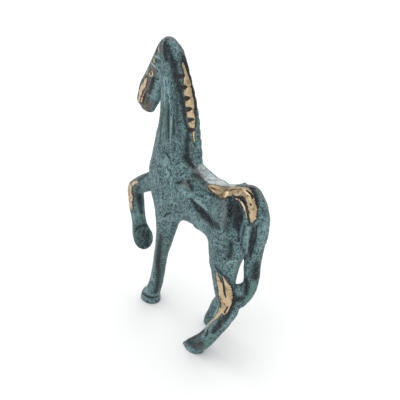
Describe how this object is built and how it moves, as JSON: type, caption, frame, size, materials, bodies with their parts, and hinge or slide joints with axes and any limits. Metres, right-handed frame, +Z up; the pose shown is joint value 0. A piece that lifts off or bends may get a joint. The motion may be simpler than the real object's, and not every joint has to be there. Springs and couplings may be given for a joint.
{
  "type": "horse statuette",
  "caption": "Slender stylised bronze horse standing on its own hooves, one foreleg raised and bent, stepped comb-like mane, tail falling to the hock, worn green patina.",
  "frame": {"origin": "on the ground under the middle of the bounding box", "axes": "+X the way the horse faces, +Y to its left, +Z up"},
  "size_m": [0.086, 0.0228, 0.1222],
  "materials": {
    "bronze": "tin bronze with a green patina, dark in the hollows and polished to metal on the ridges"
  },
  "bodies": {
    "root": {"horse": "bronze"}
  },
  "joints": []
}
